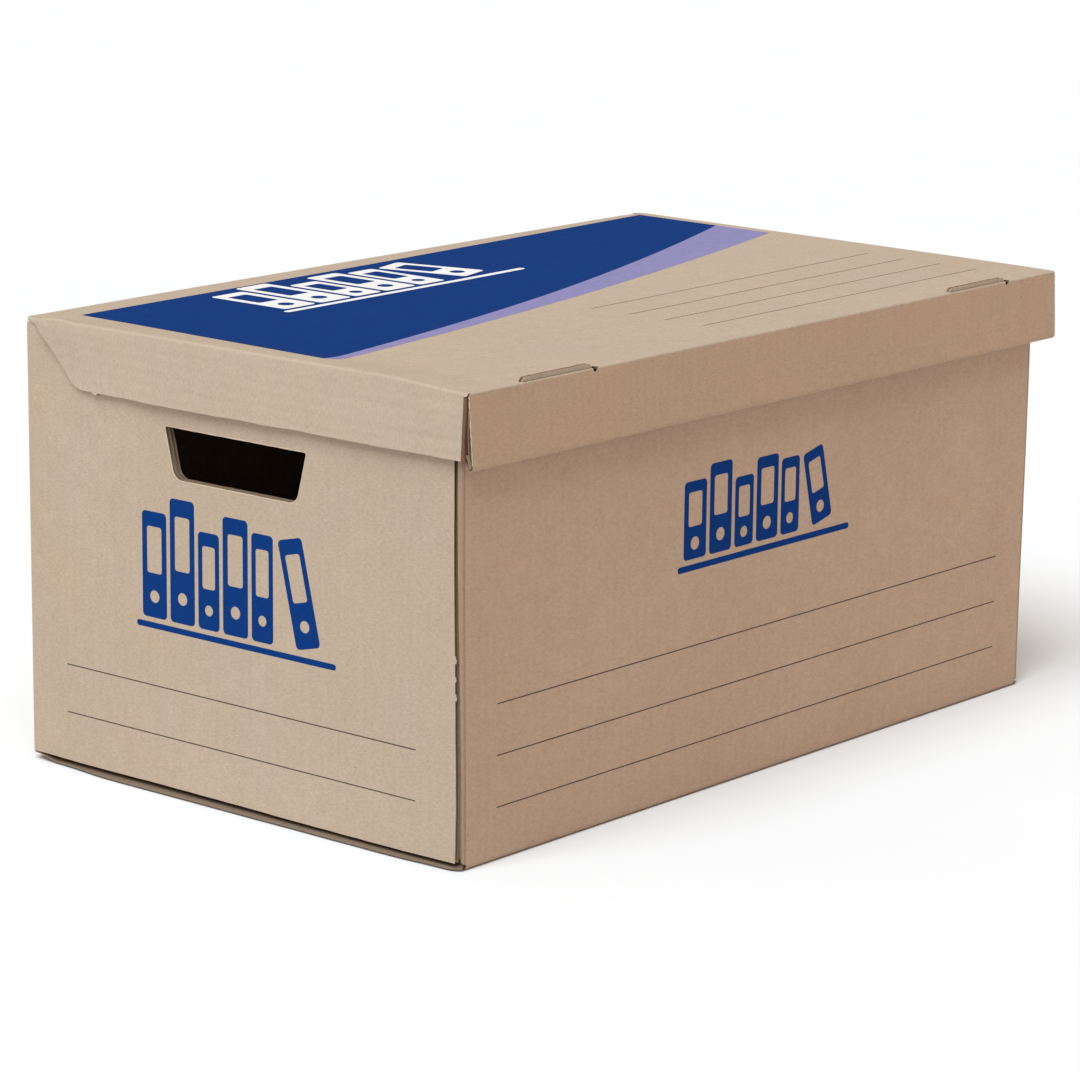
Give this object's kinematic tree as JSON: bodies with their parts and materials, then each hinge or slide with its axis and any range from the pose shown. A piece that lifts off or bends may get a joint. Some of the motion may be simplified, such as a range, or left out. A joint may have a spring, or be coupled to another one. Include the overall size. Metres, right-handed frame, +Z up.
{
  "type": "archival storage box",
  "caption": "Long flip-top archive box of corrugated kraft board, with doubled end walls, hand holes and a hinged lid with a roll-over front.",
  "frame": {"origin": "centre of the base's underside, on the surface the box stands on", "axes": "+Z up, +X along the length towards the right-hand end, -Y towards the long front face; the lid is hinged along the back, at +Y"},
  "size_m": [0.537, 0.3347, 0.2585],
  "materials": {
    "kraft_outside": "matte, brown kraft liner, fluted board",
    "kraft_inside": "matte, plain inner liner",
    "blue_print": "matte dark blue ink on kraft liner",
    "lilac_print": "matte lilac ink on kraft liner",
    "white_print": "matte off-white ink over the blue",
    "dark_print": "matte dark grey ruled lines"
  },
  "bodies": {
    "box": {"base_panel": "kraft_inside", "front_panel": "kraft_outside", "back_panel": "kraft_outside", "left_outer_end_panel": "kraft_outside", "right_outer_end_panel": "kraft_outside", "left_inner_end_panel": "kraft_outside", "right_inner_end_panel": "kraft_outside", "left_base_flap": "kraft_inside", "right_base_flap": "kraft_inside", "lid_hinge_crease": "kraft_outside"},
    "lid": {"lid_top_panel": "kraft_outside", "lid_left_end_flap": "kraft_outside", "lid_right_end_flap": "kraft_outside", "lid_left_corner_tab": "kraft_inside", "lid_right_corner_tab": "kraft_inside", "lid_front_outer_flap": "kraft_outside", "lid_front_fold": "kraft_outside", "lid_front_inner_flap": "kraft_inside", "lid_left_lock_tab": "kraft_inside", "lid_right_lock_tab": "kraft_inside"},
    "left_handle": {"left_handle_flap": "kraft_inside"},
    "right_handle": {"right_handle_flap": "kraft_inside"}
  },
  "joints": [
    {"name": "lid_hinge", "type": "hinge", "parent": "box", "child": "lid", "pos_m": [0, 0.161, 0.2545], "axis": [-1, 0, 0], "range_deg": [0, 225], "deforming": ["lid_hinge_crease"]},
    {"name": "left_handle_hinge", "type": "hinge", "parent": "box", "child": "left_handle", "pos_m": [-0.25385, 0, 0.208], "axis": [0, 1, 0], "range_deg": [0, 180]},
    {"name": "right_handle_hinge", "type": "hinge", "parent": "box", "child": "right_handle", "pos_m": [0.25385, 0, 0.208], "axis": [0, -1, 0], "range_deg": [0, 180]}
  ]
}
